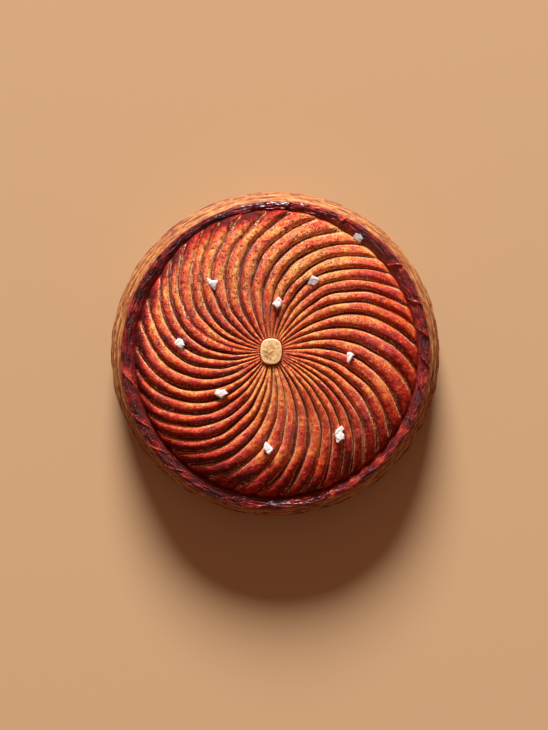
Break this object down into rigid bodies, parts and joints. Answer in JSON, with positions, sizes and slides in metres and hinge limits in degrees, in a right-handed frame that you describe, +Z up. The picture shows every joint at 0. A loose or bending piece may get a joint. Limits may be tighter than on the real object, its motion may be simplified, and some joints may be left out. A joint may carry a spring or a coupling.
{
  "type": "king cake",
  "caption": "Whole round puff-pastry king cake, its domed lid scored with a swirl of ridges inside a glazed rim, with coarse salt on top and a hazelnut in the middle.",
  "frame": {"origin": "middle of the flat underside, on the surface that the cake rests on", "axes": "+Z up through the cake, +Y towards its back, +X to its right; the ridges sweep clockwise outwards, seen from above"},
  "size_m": [0.2011, 0.1978, 0.0462],
  "materials": {
    "glazed_crust": "baked egg-washed puff pastry: red-brown glossy crests, orange flanks, dark grooves, burgundy glazed rim",
    "layered_side": "unglazed golden-brown edges of puff-pastry layers, matte and ragged",
    "coarse_salt": "cloudy white to translucent broken crystals",
    "roasted_nut": "blanched and roasted kernel, pale cream to tan, satin"
  },
  "bodies": {
    "root": {"pastry": "glazed_crust", "nut": "roasted_nut"}
  },
  "joints": []
}
